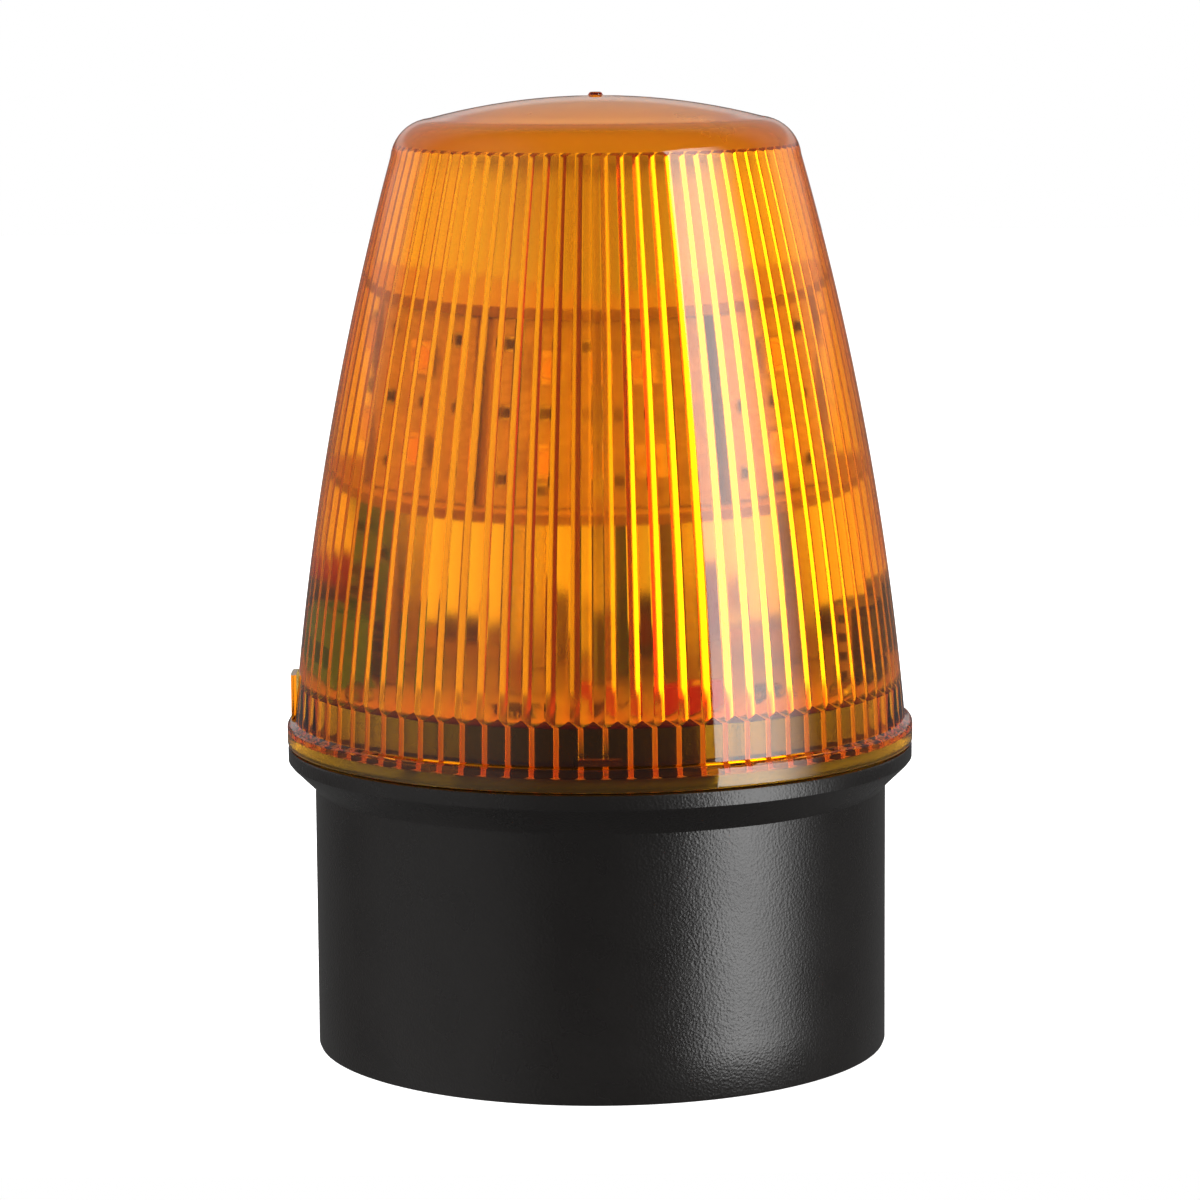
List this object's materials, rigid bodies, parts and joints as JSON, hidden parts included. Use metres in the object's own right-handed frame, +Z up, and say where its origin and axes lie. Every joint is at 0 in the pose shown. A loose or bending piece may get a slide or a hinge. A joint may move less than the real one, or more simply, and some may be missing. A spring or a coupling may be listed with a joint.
{
  "type": "amber warning light",
  "caption": "Surface-mounted amber hazard beacon: tall ribbed dome lens, twist-locked onto a deep black round base, with a diode tower and driver boards inside.",
  "frame": {"origin": "centre of the base's underside", "axes": "+Z up the axis of the light towards the dome; -Y towards the viewer; the terminal block lies on the -X side"},
  "size_m": [0.0968, 0.0968, 0.147],
  "materials": {
    "black_abs": "spark-eroded satin black",
    "black_rubber": "matt moulded",
    "amber_polycarbonate": "clear amber, polished outside and ribbed inside",
    "green_board": "solder-masked glass epoxy",
    "white_board": "white solder mask",
    "led_package": "white reflector cup with clear yellowish fill",
    "zinc_plated_steel": "bright zinc plate",
    "nickel_plated_brass": "nickel plate",
    "green_polyamide": "moulded satin",
    "red_switch_plastic": "moulded satin",
    "white_switch_plastic": "moulded satin",
    "capacitor_sleeve": "shrunk sleeve",
    "varistor_coating": "dipped epoxy",
    "choke_ferrite": "shrink-wrapped ferrite spool",
    "black_epoxy": "moulded epoxy"
  },
  "bodies": {
    "base": {"base_housing": "black_abs", "mounting_gasket": "black_rubber", "cable_grommet": "black_rubber", "driver_board": "green_board", "main_board": "white_board", "tower_board": "white_board", "tower_cap": "white_board", "led_board_1": "white_board", "led_board_2": "white_board", "led_board_3": "white_board", "led_board_4": "white_board", "led_board_5": "white_board", "led_board_6": "white_board", "led_1_lower": "led_package", "led_1_upper": "led_package", "led_2_lower": "led_package", "led_2_upper": "led_package", "led_3_lower": "led_package", "led_3_upper": "led_package", "led_4_lower": "led_package", "led_4_upper": "led_package", "led_5_lower": "led_package", "led_5_upper": "led_package", "led_6_lower": "led_package", "led_6_upper": "led_package", "board_screw_1": "zinc_plated_steel", "board_screw_2": "zinc_plated_steel", "board_screw_3": "zinc_plated_steel", "pillar_screw_1": "zinc_plated_steel", "pillar_screw_2": "zinc_plated_steel", "pillar_screw_3": "zinc_plated_steel", "terminal_screw_1": "zinc_plated_steel", "terminal_screw_2": "zinc_plated_steel", "terminal_screw_3": "zinc_plated_steel", "tower_pillar_1": "nickel_plated_brass", "tower_pillar_2": "nickel_plated_brass", "tower_pillar_3": "nickel_plated_brass", "terminal_block": "green_polyamide", "mode_switch": "red_switch_plastic", "capacitor_1": "capacitor_sleeve", "capacitor_2": "capacitor_sleeve", "varistor": "varistor_coating", "choke": "choke_ferrite", "rectifier": "black_epoxy"},
    "seal": {"lens_seal": "black_rubber"},
    "lens": {"lens": "amber_polycarbonate"},
    "slider_1": {"mode_slider_1": "white_switch_plastic"},
    "slider_2": {"mode_slider_2": "white_switch_plastic"}
  },
  "joints": [
    {"name": "lens_turn", "type": "hinge", "parent": "base", "child": "seal", "pos_m": [0, 0, 0.0474], "axis": [0, 0, 1], "range_deg": [0, 22]},
    {"name": "lens_lift", "type": "slide", "parent": "seal", "child": "lens", "axis": [0, 0, 1], "range_m": [0, 0.1]},
    {"name": "mode_slider_1_slide", "type": "slide", "parent": "base", "child": "slider_1", "axis": [0, 1, 0], "range_m": [0, 0.0016]},
    {"name": "mode_slider_2_slide", "type": "slide", "parent": "base", "child": "slider_2", "axis": [0, 1, 0], "range_m": [0, 0.0016]}
  ]
}
